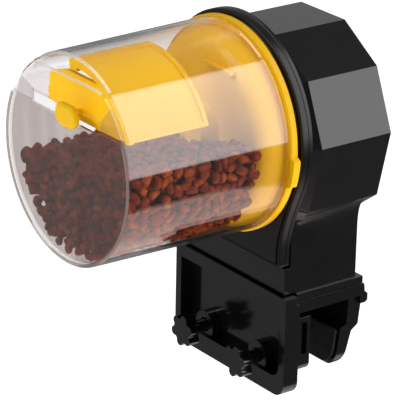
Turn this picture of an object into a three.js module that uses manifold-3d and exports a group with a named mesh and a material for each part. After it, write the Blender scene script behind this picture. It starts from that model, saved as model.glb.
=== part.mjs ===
// Automatic pet feeder: a clear feed drum turned by a battery-powered head that clamps to a tank rim.
// Millimetres, +Z up, +Y to the back. The origin is on the rim seat, under the clamp plate.
import * as THREE from "three";
import { mergeVertices } from "three/addons/utils/BufferGeometryUtils.js";
import Module from "manifold-3d";

const wasm = await Module();
wasm.setup();

// ---- driving dimensions -------------------------------------------------
const GAP = 0.3; // running and assembly gap between separate pieces
const AXIS_Z = 62; // height of the drum axis over the rim seat
const FRONT_Y = -86.5; // front rim of the drum

const DRUM_R = 35; // outer radius at the front rim
const DRUM_BACK_R = 36; // outer radius at the back edge
const DRUM_LEN = 62.7;
const DRUM_WALL = 2;
const DISC_RECESS = 2; // depth of the front disc inside the rim
const PANEL_STEP = 2.4; // the upper panel's edge stands this far out of the wall
const LOWER_CHORD = 15; // height of the chord that carries the gate slot
const UPPER_CHORD = 28.4; // the front is open above this chord
const SLOT_X = [-20.3, 17.5];
const SLOT_Z = [13.6, 18.3];
const OUTLET_SETBACK = 3.2; // the wall above the upper chord starts this far back

const GATE_R = [30.4, 32.2];
const GATE_DEG = [25.5, 98]; // arc of the gate at rest, half open
const GATE_Y = [4.6, 34.8];
const KNOB = [2.6, 16.6]; // knob centre, x and height over the drum axis

const BASE_Y = [54.5, 65.8]; // drive base, from inner face to flange back
const BASE_R = 33.2;
const FLANGE_R = 36.7;

const RING_Y = [66.2, 70.8]; // black ring behind the drum
const RING_R = 38;
const NECK_X = 27.8; // half width of the neck
const RING_BOTTOM = -44;

const HOUSING_Y = [71.3, 104];
const WAIST_Y = 75; // the facets start here
const COVER_Y = [101.4, 103.4]; // the back cover sits inside the housing's rim
const BOSS_END = 101.1;
const NECK_BACK = 99.6;
const BASE_BOTTOM = -56.7; // underside of the neck, on the clamp plate
const WALL = 2;

const PLATE_X = 28.5; // half width of the clamp plate
const PLATE_T = 5;
const FRAME_X = 30.8;
const FRAME_Y = [67.5, 73.6];
const FRAME_FLOOR = 72; // front of the recessed wall inside the frame
const FRAME_BOTTOM = -28.2;
const POST_W = 3;
const RAIL_H = 6.6;
const JAW_X = 27;
const JAW_BOTTOM = -25.2;
const SCREW_X = 15;
const SCREW_Z = -18;
const PRESSER_Y = [74.2, 79];

const GEAR_MODULE = 0.8;
const TEETH = { output: 30, idler: 20, pinion: 10 };
const CELL_R = 7.25;
const CELL_LEN = 50.5;

// ---- colours ------------------------------------------------------------
const paint = (color, roughness, metalness = 0, opacity = 1) =>
  new THREE.MeshStandardMaterial({ color, roughness, metalness, opacity, transparent: opacity < 1 });
const MAT = {
  black: paint(0x141416, 0.45),
  yellow: paint(0xf4b510, 0.4),
  clear: paint(0xdcdfe2, 0.08, 0, 0.3),
  feed: paint(0x7a3418, 0.8),
  rubber: paint(0x202022, 0.85),
  steel: paint(0xb9bcc0, 0.3, 1),
  brass: paint(0xc79a4a, 0.35, 1),
  white: paint(0xe9e8e2, 0.5),
  green: paint(0x1d5a34, 0.5),
  grey: paint(0x6d7276, 0.5),
  cell: paint(0x2f5d8c, 0.4),
  glass: paint(0x30383c, 0.1, 0, 0.6),
};

// ---- solids -------------------------------------------------------------
const group = new THREE.Group();
group.name = "pet_feeder";

function toSolid(geometry) {
  const g = geometry.index ? geometry.toNonIndexed() : geometry.clone();
  g.deleteAttribute("normal");
  g.deleteAttribute("uv");
  const m = mergeVertices(g, 1e-4);
  return new wasm.Manifold(
    new wasm.Mesh({
      numProp: 3,
      vertProperties: new Float32Array(m.attributes.position.array),
      triVerts: new Uint32Array(m.index.array),
    }),
  );
}

function toGeometry(solid) {
  const m = solid.getMesh();
  const g = new THREE.BufferGeometry();
  g.setAttribute("position", new THREE.BufferAttribute(m.vertProperties.slice(), 3));
  g.setIndex(new THREE.BufferAttribute(m.triVerts.slice(), 1));
  const flat = g.toNonIndexed();
  flat.computeVertexNormals();
  return flat;
}

const join = (...parts) => parts.reduce((a, b) => a.add(b));
const cut = (body, ...tools) => tools.reduce((a, b) => a.subtract(b), body);

function place(name, solid, material) {
  const mesh = new THREE.Mesh(toGeometry(solid), material);
  mesh.name = name;
  group.add(mesh);
}

// Head coordinates: y from the drum's front rim, z from the drum axis.
const head = (solid) => solid.translate([0, FRONT_Y, AXIS_Z]);

function shapeOf(points) {
  return new THREE.Shape(points.map(([x, y]) => new THREE.Vector2(x, y)));
}

// A profile in (x, z) run from y0 to y1.
function alongY(profile, y0, y1) {
  const shape = Array.isArray(profile) ? shapeOf(profile) : profile;
  const g = new THREE.ExtrudeGeometry(shape, { depth: y1 - y0, bevelEnabled: false, curveSegments: 12 });
  g.rotateX(Math.PI / 2);
  g.translate(0, y1, 0);
  return toSolid(g);
}

// A profile in (y, z) run from x0 to x1.
function alongX(points, x0, x1) {
  const g = new THREE.ExtrudeGeometry(shapeOf(points), { depth: x1 - x0, bevelEnabled: false });
  const turn = new THREE.Matrix4().makeBasis(
    new THREE.Vector3(0, 1, 0),
    new THREE.Vector3(0, 0, 1),
    new THREE.Vector3(1, 0, 0),
  );
  g.applyMatrix4(turn);
  g.translate(x0, 0, 0);
  return toSolid(g);
}

function block(x, y, z) {
  const g = new THREE.BoxGeometry(x[1] - x[0], y[1] - y[0], z[1] - z[0]);
  g.translate((x[0] + x[1]) / 2, (y[0] + y[1]) / 2, (z[0] + z[1]) / 2);
  return toSolid(g);
}

// A cylinder or cone along y: radius r0 at y0 and r1 at y1.
function rod(r0, r1, y0, y1, x = 0, z = 0, sides = 32) {
  const g = new THREE.CylinderGeometry(r1, r0, y1 - y0, sides);
  g.translate(x, (y0 + y1) / 2, z);
  return toSolid(g);
}

function rodX(r, x0, x1, y, z, sides = 28) {
  const g = new THREE.CylinderGeometry(r, r, x1 - x0, sides);
  g.rotateZ(Math.PI / 2);
  g.translate((x0 + x1) / 2, y, z);
  return toSolid(g);
}

// An arc band in the (x, z) plane between two radii and two angles.
function arcShape(r0, r1, from, to, steps) {
  const a = (i) => THREE.MathUtils.degToRad(from + ((to - from) * i) / steps);
  const points = [];
  for (let i = 0; i <= steps; i++) points.push([r1 * Math.cos(a(i)), r1 * Math.sin(a(i))]);
  for (let i = steps; i >= 0; i--) points.push([r0 * Math.cos(a(i)), r0 * Math.sin(a(i))]);
  return points;
}

// A solid that runs from one (x, z) outline at y0 to another at y1, corner to corner.
function loft(first, y0, last, y1) {
  const n = first.length;
  const at = ([x, z], y) => [x, y, z];
  const faces = [];
  for (let i = 0; i < n; i++) {
    const j = (i + 1) % n;
    faces.push([at(first[i], y0), at(first[j], y0), at(last[j], y1)]);
    faces.push([at(first[i], y0), at(last[j], y1), at(last[i], y1)]);
  }
  for (let i = 1; i < n - 1; i++) {
    faces.push([at(first[0], y0), at(first[i + 1], y0), at(first[i], y0)]);
    faces.push([at(last[0], y1), at(last[i], y1), at(last[i + 1], y1)]);
  }
  const g = new THREE.BufferGeometry();
  g.setAttribute("position", new THREE.BufferAttribute(new Float32Array(faces.flat(2)), 3));
  const solid = toSolid(g);
  return solid.volume() > 0 ? solid : toSolid(flipped(g));
}

function flipped(g) {
  const p = g.attributes.position.array;
  for (let i = 0; i < p.length; i += 9)
    for (let k = 0; k < 3; k++) [p[i + 3 + k], p[i + 6 + k]] = [p[i + 6 + k], p[i + 3 + k]];
  return g;
}

// A rectangle in (x, z) with its lower corners rounded.
function roundBottom(x, z0, z1, r) {
  const s = new THREE.Shape();
  s.moveTo(-x, z1);
  s.lineTo(-x, z0 + r);
  s.absarc(-x + r, z0 + r, r, Math.PI, 1.5 * Math.PI, false);
  s.lineTo(x - r, z0);
  s.absarc(x - r, z0 + r, r, 1.5 * Math.PI, 2 * Math.PI, false);
  s.lineTo(x, z1);
  return s;
}

const mirrored = (half) => [...half, ...half.map(([x, z]) => [-x, z]).reverse()];

// Outline of the faceted head, as (x, z) from the drum axis; inset moves every side inwards.
function facets(inset) {
  const k = 1 - inset / 35.5;
  return [
    [11.6, 32],
    [29, 20.8],
    [37.6, 0],
    [32, -23.7],
    [24, -29.6],
  ].map(([x, z]) => [x * k, z * k]);
}

// ---- clamp --------------------------------------------------------------
function makeBracket() {
  const [f0, f1] = FRAME_Y.map((y) => y + FRONT_Y);
  const floor = FRAME_FLOOR + FRONT_Y;
  const top = BASE_BOTTOM + AXIS_Z + 2.7;
  const back = 16.2;
  const frame = cut(
    alongY(roundBottom(FRAME_X, FRAME_BOTTOM, top, 5), f0, f1),
    alongY(roundBottom(FRAME_X - POST_W, FRAME_BOTTOM + RAIL_H, 3.5, 4), f0 - 1, floor),
    block([-PLATE_X - 3, PLATE_X + 3], [floor + 0.4, f1 + 1], [PLATE_T, top + 1]),
  );
  const bosses = [-SCREW_X, SCREW_X].map((x) => rod(5, 5, f0 + 1, floor + 0.5, x, SCREW_Z, 28));
  const plate = block([-PLATE_X, PLATE_X], [floor, back], [0.6, PLATE_T]);
  const seat = block([-24, 24], [-4.4, 4.4], [0, 1]);
  const lip = alongX(
    [
      [back - 1, -2.3],
      [17.4, -2.3],
      [18.4, -1.6],
      [18.4, 0.8],
      [17.1, 2],
      [16.8, PLATE_T - 0.4],
      [16.4, PLATE_T],
      [back - 1, PLATE_T],
    ],
    -PLATE_X,
    PLATE_X,
  );
  const jawSide = alongX(
    [
      [11.4, 1],
      [10.8, -9.3],
      [8.2, -10.6],
      [6.3, JAW_BOTTOM + 1.4],
      [7.2, JAW_BOTTOM],
      [8.6, JAW_BOTTOM],
      [10.1, JAW_BOTTOM + 2.4],
      [13, -12.4],
      [15.8, -10.4],
      [17.2, 1],
    ],
    -JAW_X,
    JAW_X,
  );
  const jaw = jawSide.intersect(alongY(roundBottom(JAW_X, JAW_BOTTOM, 2, 6.5), 5, 20));
  const rail = join(
    block([-7, 7], [-12, 12], [PLATE_T - 0.5, 6.8]),
    block([-10.5, 10.5], [-12, 12], [6.6, 8]),
  );
  const threads = [-SCREW_X, SCREW_X].map((x) => rod(2.6, 2.6, f0 - 2, f1 + 2, x, SCREW_Z, 24));
  return cut(join(frame, ...bosses, plate, lip, seat, jaw, rail), ...threads);
}

function makeJawPad() {
  const slope = [
    [4.95, -23.6],
    [6.0, -23.6],
    [7.75, -11.2],
    [6.65, -11.2],
  ];
  const outline = alongY(roundBottom(JAW_X - 1, JAW_BOTTOM + 1.6, -5, 5.4), 4, 9);
  return alongX(slope, 1 - JAW_X, JAW_X - 1).intersect(outline);
}

function makePressurePlate() {
  const y = FRONT_Y + PRESSER_Y[0];
  const depth = PRESSER_Y[1] - PRESSER_Y[0];
  const plate = alongY(roundBottom(30, -20.4, -0.5, 3), y, y + depth);
  const grooves = [-1, 1].map((side) =>
    block([side * 29 - 1.5, side * 29 + 1.5], [y + 1.2, y + 3.4], [-14, -2.4]),
  );
  const sockets = [-SCREW_X, SCREW_X].map((x) => rod(2.5, 2.5, y - 1, y + 2.7, x, SCREW_Z, 14));
  return cut(plate, ...grooves, ...sockets);
}

function makePressurePad() {
  const y = FRONT_Y + PRESSER_Y[1] + GAP;
  return alongY(roundBottom(27.5, -18, -2.5, 3), y, y + 1.1);
}

function makeThumbScrew(x) {
  const y = FRONT_Y + 58.6;
  const lobes = [];
  for (let i = 0; i < 6; i++) {
    const a = (i * Math.PI) / 3 + 0.3;
    lobes.push(rod(1.7, 1.7, y, y + 4.2, x + 4.2 * Math.cos(a), SCREW_Z + 4.2 * Math.sin(a), 14));
  }
  const shank = rod(2.2, 2.2, y + 4, FRONT_Y + 75.6, x, SCREW_Z, 20);
  const tip = rod(2.2, 1.2, FRONT_Y + 75.5, FRONT_Y + 76.5, x, SCREW_Z, 20);
  return join(rod(4.4, 4.4, y, y + 4.2, x, SCREW_Z, 24), ...lobes, shank, tip);
}

// ---- drum, gate, feed and drive base ------------------------------------
function makeDrum() {
  const inside = DRUM_R - DRUM_WALL;
  const outer = rod(DRUM_R, DRUM_BACK_R, 0, DRUM_LEN, 0, 0, 96);
  const inner = rod(inside, DRUM_BACK_R - DRUM_WALL, -1, DRUM_LEN + 1, 0, 0, 96);
  const disc = cut(
    rod(inside + 0.4, inside + 0.4, DISC_RECESS, DISC_RECESS + 2, 0, 0, 96),
    block([-40, 40], [-1, 6], [UPPER_CHORD, 40]),
    block(SLOT_X, [-1, 6], SLOT_Z),
  );
  const tube = cut(
    outer,
    inner,
    block([-40, 40], [-1, PANEL_STEP], [LOWER_CHORD, 40]),
    block([-40, 40], [-1, OUTLET_SETBACK], [UPPER_CHORD, 40]),
  );
  const panel = cut(
    rod(inside + 0.4, inside + 0.4, 0, DISC_RECESS + 1, 0, 0, 96),
    block([-40, 40], [-1, 6], [UPPER_CHORD, 40]),
    block([-40, 40], [-1, 6], [-40, LOWER_CHORD]),
    block(SLOT_X, [-1, 6], SLOT_Z),
  );
  return join(tube, disc, panel);
}

function makeGate() {
  const arc = alongY(arcShape(...GATE_R, ...GATE_DEG, 14), ...GATE_Y);
  const edge = alongY(arcShape(GATE_R[0] - 1.2, GATE_R[1], GATE_DEG[1] - 3.5, GATE_DEG[1], 2), ...GATE_Y);
  const front = [];
  const r = GATE_R[1] - 0.2;
  const low = KNOB[1] - 3.2;
  const start = THREE.MathUtils.radToDeg(Math.asin(low / r));
  for (let i = 0; i <= 12; i++) {
    const a = THREE.MathUtils.degToRad(start + ((101 - start) * i) / 12);
    front.push([r * Math.cos(a), r * Math.sin(a)]);
  }
  front.push([-9, 27.4], [-14.6, 24.6], [-16.8, 20.4], [-14.6, 16.4], [-11, 14.9], [-9.5, low]);
  const plate = alongY(front, GATE_Y[0], GATE_Y[0] + 1.6);
  const stem = rod(1.5, 1.5, -0.5, GATE_Y[0] + 0.5, ...KNOB, 16);
  const knob = rod(3.9, 3.9, -2.7, -GAP, ...KNOB, 24);
  return join(arc, edge, plate, stem, knob);
}

function makeFeed() {
  const lump = rod(32.4, 33, 4.4, BASE_Y[0] - GAP, 0, 0, 64);
  const above = alongY(
    [
      [-40, -6],
      [-18, -4.5],
      [2, -1.2],
      [18, 2.2],
      [40, 4.4],
      [40, 60],
      [-40, 60],
    ],
    -1,
    70,
  );
  return cut(lump, above, rod(9.6, 9.6, 49.4, 60, 0, 0, 28));
}

function makeDriveBase() {
  const [y0, y1] = BASE_Y;
  const inside = BASE_R - 2;
  const cup = cut(rod(BASE_R, BASE_R, y0, 63.5, 0, 0, 72), rod(inside, inside, y0 + 2, 70, 0, 0, 72));
  const flange = cut(rod(FLANGE_R, FLANGE_R, 63, y1, 0, 0, 72), rod(inside, inside, 62, 70, 0, 0, 72));
  const dome = rod(6, 9, 50, y0 + 0.5, 0, 0, 28);
  const hub = rod(7, 7, y0 + 1, y1 - 0.5, 0, 0, 28);
  const tab = block([1, 16], [52.6, y0 + 0.5], [22.9, 24.5]);
  const lugs = [-12, 168].map((deg) =>
    alongY(arcShape(FLANGE_R - 1, FLANGE_R + 1.5, deg - 5, deg + 9, 3), 63, y1),
  );
  const webs = [0, 60, 120].map((deg) =>
    block([-31.8, 31.8], [y0 + 1, y1 - 4], [-0.8, 0.8]).rotate([0, deg, 0]),
  );
  return cut(
    join(cup, flange, dome, hub, tab, ...lugs, ...webs),
    rod(3.1, 3.1, y0 + 2, 70, 0, 0, 24),
  );
}

// ---- head ---------------------------------------------------------------
function makeFrontPlate() {
  const [y0, y1] = RING_Y;
  const low = alongY(roundBottom(NECK_X, RING_BOTTOM, -8, 1.6), y0 + 0.8, y1);
  const step = alongY(roundBottom(NECK_X - 1.4, RING_BOTTOM + 1.4, -8, 1.2), y0, y0 + 1);
  const flare = alongY(
    mirrored([
      [32.6, -17],
      [29.6, -25],
      [NECK_X, -36],
    ]),
    y0 + 0.8,
    y1,
  );
  const ring = join(
    rod(RING_R, RING_R, y0 + 0.8, y1, 0, 0, 80),
    rod(RING_R - 1.4, RING_R - 1.4, y0, y0 + 1, 0, 0, 80),
  );
  return cut(join(flare, ring, low, step), rod(3.8, 3.8, y0 - 1, y1 + 1, 0, 0, 24));
}

function makeHousing() {
  const [y0, y1] = HOUSING_Y;
  const bay = NECK_X - 1.6;
  const shell = join(
    loft(mirrored(facets(2.2)), y0, mirrored(facets(0)), WAIST_Y),
    alongY(mirrored(facets(0)), WAIST_Y - 0.01, y1),
    block([-NECK_X, NECK_X], [74, NECK_BACK], [BASE_BOTTOM, -20]),
    block([-NECK_X, NECK_X], [y0, 74.5], [BASE_BOTTOM + 3.2, -20]),
    block([-NECK_X, NECK_X], [69, y0 + 1], [BASE_BOTTOM + 3.2, RING_BOTTOM - GAP]),
    block([-PLATE_X, PLATE_X], [74, 102.4], [BASE_BOTTOM, BASE_BOTTOM + 2.5]),
  );
  const hollow = join(
    alongY(mirrored(facets(WALL)), WAIST_Y + 0.5, y1 + 1),
    block([-bay, bay], [WAIST_Y + 0.5, 97.5], [-50, -18]),
    block([-24.4, 24.4], [90, NECK_BACK + 1], [-48, -30]),
  );
  const channel = join(
    block([-7.4, 7.4], [72, 104], [BASE_BOTTOM - 1, BASE_BOTTOM + 1.1]),
    block([-10.9, 10.9], [72, 104], [BASE_BOTTOM + 1, BASE_BOTTOM + 3.1]),
  );
  const inside = alongY(mirrored(facets(0.5)), y0, y1);
  const bosses = CASE_SCREWS.map(([x, z]) => rod(3.4, 3.4, y0 + 1, BOSS_END, x, z, 16).intersect(inside));
  return cut(
    join(cut(shell, hollow), ...bosses),
    channel,
    ...CASE_SCREWS.map(([x, z]) => rod(1.35, 1.35, 86, y1 + 1, x, z, 14)),
    rod(3.8, 3.8, y0 - 1, WAIST_Y + 2, 0, 0, 24),
  );
}

const CASE_SCREWS = [
  [24.8, 14.4],
  [-24.8, 14.4],
  [27, -14],
  [-27, -14],
];
const BUTTON_X = [-18, -6, 6, 18];
const BUTTON_Z = -9;

function makeBackCover() {
  const [y0, y1] = COVER_Y;
  return cut(
    alongY(mirrored(facets(WALL + GAP)), y0, y1),
    block([-17.4, 17.4], [y0 - 1, y1 + 1], [2.6, 21.4]),
    ...BUTTON_X.map((x) => rod(3.6, 3.6, y0 - 1, y1 + 1, x, BUTTON_Z, 24)),
    ...CASE_SCREWS.map(([x, z]) => rod(1.6, 1.6, y0 - 1, y1 + 1, x, z, 16)),
    ...CASE_SCREWS.map(([x, z]) => rod(2.8, 2.8, y1 - 1.5, y1 + 1, x, z, 20)),
  );
}

function makeCaseScrew(x, z) {
  const y = COVER_Y[1];
  const slotted = cut(
    rod(2.4, 2.4, y - 1.2, y - 0.2, x, z, 20),
    block([x - 2, x + 2], [y - 0.7, y + 1], [z - 0.3, z + 0.3]),
  );
  return join(slotted, rod(1, 1, y - 13, y - 1.1, x, z, 12));
}

function makeButton(x) {
  const y = COVER_Y[1];
  return join(
    rod(3.2, 3.2, y - 4, y + 0.6, x, BUTTON_Z, 24),
    rod(3.2, 2.6, y + 0.6, y + 1.2, x, BUTTON_Z, 24),
    rod(4.2, 4.2, y - 4, y - 2.9, x, BUTTON_Z, 24),
  );
}

function makeDoor() {
  const door = block([-24, 24], [97.8, NECK_BACK], [-47.2, -30.4]);
  const grips = [-36.8, -35, -33.2].map((z) =>
    block([-7, 7], [NECK_BACK - 0.5, NECK_BACK + 0.5], [z - 0.4, z + 0.4]),
  );
  return join(door, ...grips);
}

// ---- works --------------------------------------------------------------
function gear(teeth, y0, y1, bore, x, z, phase) {
  const pitch = (teeth * GEAR_MODULE) / 2;
  const step = (2 * Math.PI) / teeth;
  const root = pitch - 1.05 * GEAR_MODULE;
  const tip = pitch + 0.7 * GEAR_MODULE;
  const tooth = [
    [root, -0.3],
    [tip, -0.1],
    [tip, 0.1],
    [root, 0.3],
  ];
  const points = [];
  for (let i = 0; i < teeth; i++) {
    const a = phase + i * step;
    for (const [r, w] of tooth) points.push([x + r * Math.cos(a + w * step), z + r * Math.sin(a + w * step)]);
  }
  return cut(alongY(points, y0, y1), rod(bore, bore, y0 - 1, y1 + 1, x, z, 20));
}

const GEAR_SPREAD = 0.2; // extra centre distance for backlash
const reach = (a, b) => ((a + b) * GEAR_MODULE) / 2 + GEAR_SPREAD;
const IDLER_ANGLE = 0.9;
const IDLER = [reach(30, 20) * Math.cos(IDLER_ANGLE), reach(30, 20) * Math.sin(IDLER_ANGLE)];
const PINION_ANGLE = 2.45;
const PINION = [
  IDLER[0] + reach(20, 10) * Math.cos(PINION_ANGLE),
  IDLER[1] + reach(20, 10) * Math.sin(PINION_ANGLE),
];
const GEAR_Y = [77.2, 80.2];

function makeOutputGear() {
  return gear(TEETH.output, ...GEAR_Y, 3.1, 0, 0, IDLER_ANGLE);
}

function makeIdler() {
  const facing = IDLER_ANGLE + Math.PI;
  return gear(TEETH.idler, ...GEAR_Y, 1.5, ...IDLER, facing + Math.PI / TEETH.idler);
}

function makePinion() {
  const step = (2 * Math.PI) / TEETH.idler;
  const idlerPhase = IDLER_ANGLE + Math.PI + Math.PI / TEETH.idler;
  const off = (PINION_ANGLE - idlerPhase) / step;
  const frac = off - Math.round(off);
  const advance = frac * (TEETH.idler / TEETH.pinion) * step;
  const phase = PINION_ANGLE + Math.PI + Math.PI / TEETH.pinion + advance;
  return gear(TEETH.pinion, ...GEAR_Y, 1.2, ...PINION, phase);
}

function makeShaft() {
  return join(rod(2.8, 2.8, 57, 83.5, 0, 0, 20), rod(5, 5, GEAR_Y[1] + GAP, GEAR_Y[1] + 1.2, 0, 0, 20));
}

function makeGearPlate() {
  const outline = [
    [20, 20],
    [24, -10],
    [14, -17],
    [-20, -17],
    [-24, 4],
    [-6, 26],
    [14, 27],
  ];
  return cut(
    alongY(outline, 84, 85.6),
    rod(1.6, 1.6, 80, 90, ...IDLER, 14),
    rod(2.4, 2.4, 80, 90, ...PINION, 16),
  );
}

function makeIdlerPin() {
  return rod(1.2, 1.2, WAIST_Y + 0.8, 87, ...IDLER, 14);
}

function makeMotor() {
  const [x, z] = PINION;
  const flats = block([x - 7, x + 7], [80, 96], [z - 5.2, z + 5.2]);
  const can = rod(6.6, 6.6, 85.9, 95, x, z, 28).intersect(flats);
  return join(can, rod(0.9, 0.9, GEAR_Y[0], 86, x, z, 14));
}

function makeBoard() {
  return alongY(
    [
      [20.5, 21],
      [22, -17],
      [-22, -17],
      [-20.5, 21],
      [-9, 26.5],
      [9, 26.5],
    ].reverse(),
    95.4,
    96.9,
  );
}

function makeContact(side) {
  const x = side * 25.75;
  return block([x - 0.2, x + 0.2], [82, 94], [-47, -21]);
}

// ---- assembly -----------------------------------------------------------
place("clamp_bracket", makeBracket(), MAT.black);
place("rear_jaw_pad", makeJawPad(), MAT.rubber);
place("pressure_plate", makePressurePlate(), MAT.black);
place("pressure_pad", makePressurePad(), MAT.rubber);
place("thumb_screw_left", makeThumbScrew(-SCREW_X), MAT.black);
place("thumb_screw_right", makeThumbScrew(SCREW_X), MAT.black);

place("drum_shell", head(makeDrum()), MAT.clear);
place("feed_gate", head(makeGate()), MAT.yellow);
place("feed_pile", head(makeFeed()), MAT.feed);
place("drive_base", head(makeDriveBase()), MAT.yellow);
place("drive_shaft", head(makeShaft()), MAT.white);
place("output_gear", head(makeOutputGear()), MAT.white);
place("idler_gear", head(makeIdler()), MAT.white);
place("idler_pin", head(makeIdlerPin()), MAT.steel);
place("motor_pinion", head(makePinion()), MAT.brass);
place("gear_plate", head(makeGearPlate()), MAT.grey);
place("motor", head(makeMotor()), MAT.steel);

place("front_plate", head(makeFrontPlate()), MAT.black);
place("housing", head(makeHousing()), MAT.black);
place("back_cover", head(makeBackCover()), MAT.black);
place("battery_door", head(makeDoor()), MAT.black);
place("circuit_board", head(makeBoard()), MAT.green);
place("lcd_module", head(block([-16, 16], [97.2, 101.1], [4, 20])), MAT.grey);
place("lcd_window", head(block([-17.1, 17.1], [101.5, 103.1], [2.9, 21.1])), MAT.glass);
place("position_switch", head(block([-19, -11], [86, 92], [-15, -9])), MAT.grey);
BUTTON_X.forEach((x, i) => place("button_" + (i + 1), head(makeButton(x)), MAT.yellow));
CASE_SCREWS.forEach(([x, z], i) => place("case_screw_" + (i + 1), head(makeCaseScrew(x, z)), MAT.steel));

[-42, -26.8].forEach((z, i) => {
  const end = CELL_LEN / 2;
  const cell = join(rodX(CELL_R, -end, end - 1, 88, z), rodX(2.6, 0, end, 88, z, 16));
  place("battery_" + (i + 1), head(cell), MAT.cell);
});
place("battery_contact_left", head(makeContact(-1)), MAT.steel);
place("battery_contact_right", head(makeContact(1)), MAT.steel);

export default group;
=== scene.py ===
# Automatic pet feeder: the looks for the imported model.
# Builders work in mm and in head coordinates: y from the drum's front rim, z from the drum's axis.
import math
import random
from itertools import product

import bmesh
import bpy
from mathutils import Matrix, Vector


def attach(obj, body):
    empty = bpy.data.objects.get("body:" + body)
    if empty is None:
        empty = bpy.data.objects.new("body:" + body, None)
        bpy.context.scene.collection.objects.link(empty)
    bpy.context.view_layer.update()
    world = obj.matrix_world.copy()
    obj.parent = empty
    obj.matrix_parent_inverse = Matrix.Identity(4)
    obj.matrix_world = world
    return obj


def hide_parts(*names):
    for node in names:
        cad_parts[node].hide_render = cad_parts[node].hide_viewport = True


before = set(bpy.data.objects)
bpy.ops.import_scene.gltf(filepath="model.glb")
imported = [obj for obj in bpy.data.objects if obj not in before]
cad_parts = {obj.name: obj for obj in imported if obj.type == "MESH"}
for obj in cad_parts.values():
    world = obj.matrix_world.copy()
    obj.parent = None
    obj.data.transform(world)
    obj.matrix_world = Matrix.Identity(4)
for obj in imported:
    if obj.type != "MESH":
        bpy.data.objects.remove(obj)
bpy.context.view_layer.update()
scene = bpy.context.scene

HEAD = Vector((0, -86.5, 62))  # head coordinates to the part's frame
MM = 0.001
ACROSS = Vector((1, 0, 0))
ALONG = Vector((0, 1, 0))
UPRIGHT = Vector((0, 0, 1))

# ---- driving dimensions -------------------------------------------------
DRUM_R = 35.0
DRUM_BACK_R = 36.0
DRUM_LEN = 62.7
WALL = 1.4
LOWER_CHORD = 15.0  # the panel with the slot stands on this chord
UPPER_CHORD = 28.4  # the front is open above this chord
PANEL_STEP = 2.4  # the wall beside the panel starts this far back
OUTLET_SETBACK = 3.2  # and this far back above the upper chord
DISC_Y = (0.8, 1.8)  # the front disc, just inside the rim
PANEL_FRONT = 0.3
SLOT_X = (-20.3, 17.5)
SLOT_Z = (13.9, 18.3)

GATE_R = (30.4, 32.2)
GATE_DEG = (25.5, 98.0)
GATE_Y = (4.6, 34.8)
KNOB = (2.6, 16.6)  # x and z of the gate's stem
KNOB_Y = (-2.7, -0.2)

BASE_Y = (54.5, 65.8)  # the drive cup, front to back
BASE_R = 33.2
FLANGE_R = 36.7
FLANGE_FRONT = 63.0
LUG_R = 38.2

SHAFT_HOLE_R = 3.8
NECK_X = 27.8
RING_R = 38.0
RING_BOTTOM = -44.0
HOUSING_Y = (71.3, 104.0)
SHOULDER_Y = 75.0  # the facets reach their full size here
NECK_BACK = 99.6
FOOT_BOTTOM = -56.7
HOUSING_WALL = 2.0
WINDOW_BACK = 103.1

FEED_SEED = 7
FEED_Y = (1.9, 54.0)
FEED_R = 33.55
PELLET_R = (1.2, 1.55)
PELLET_LEN = (3.6, 5.2)
PELLET_SPACING = 2.25
CELL = 3.6  # side of a box in the grid that finds near pellets
FULL_TURN = 6.283  # radians; a pellet may face any way round its axis

SMOOTH_ANGLE = 32
BEVEL_ANGLE = 28


# ---- camera and light ---------------------------------------------------
CAMERA_AT = Vector((0.6790, -0.5427, 0.3762))
CAMERA_RIGHT = Vector((0.59438484, 0.80393769, 0.01977015))
CAMERA_UP = Vector((-0.30945627, 0.20596458, 0.92834014))
CAMERA_BACK = Vector((0.74225567, -0.5579093, 0.37120578))
LENS = 247.5
SENSOR = 36

SKY_LEVEL = 0.15
SKY_SLOPE = -0.08  # the sky dims towards +X
FLOOR_Z = -1.0
FLOOR_HALF = 60.0
FLOOR_GLOW = 1.0
FLOOR_GLOW_MIRRORED = 0.16


def placed(side, up, out, at):
    """A matrix from three axes and a place."""
    pose = Matrix((side, up, out)).transposed().to_4x4()
    pose.translation = at
    return pose


def make_camera():
    data = bpy.data.cameras.new("camera")
    data.lens = LENS
    data.sensor_width = SENSOR
    data.clip_start = 0.01
    cam = bpy.data.objects.new("camera", data)
    scene.collection.objects.link(cam)
    cam.matrix_world = placed(CAMERA_RIGHT, CAMERA_UP, CAMERA_BACK, CAMERA_AT)
    scene.camera = cam


def area_light(name, width, length, radiance, tint=(1, 1, 1)):
    data = bpy.data.lights.new(name, "AREA")
    data.shape = "RECTANGLE"
    data.size = width
    data.size_y = length
    data.energy = radiance * math.pi * width * length
    data.color = tint
    lamp = bpy.data.objects.new(name, data)
    scene.collection.objects.link(lamp)
    return lamp


def set_beside(lamp, angle, distance, y):
    """Stands a lamp beside the drum axis, at an angle up from +X round the axis."""
    a = math.radians(angle)
    out = Vector((math.cos(a), 0, math.sin(a)))
    at = out * distance + Vector((0, y, HEAD.z * MM))
    lamp.matrix_world = placed(ALONG.cross(out), ALONG, out, at)


def aim(lamp, place, target):
    lamp.location = place
    lamp.rotation_euler = (Vector(target) - Vector(place)).to_track_quat("-Z", "Y").to_euler()


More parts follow.
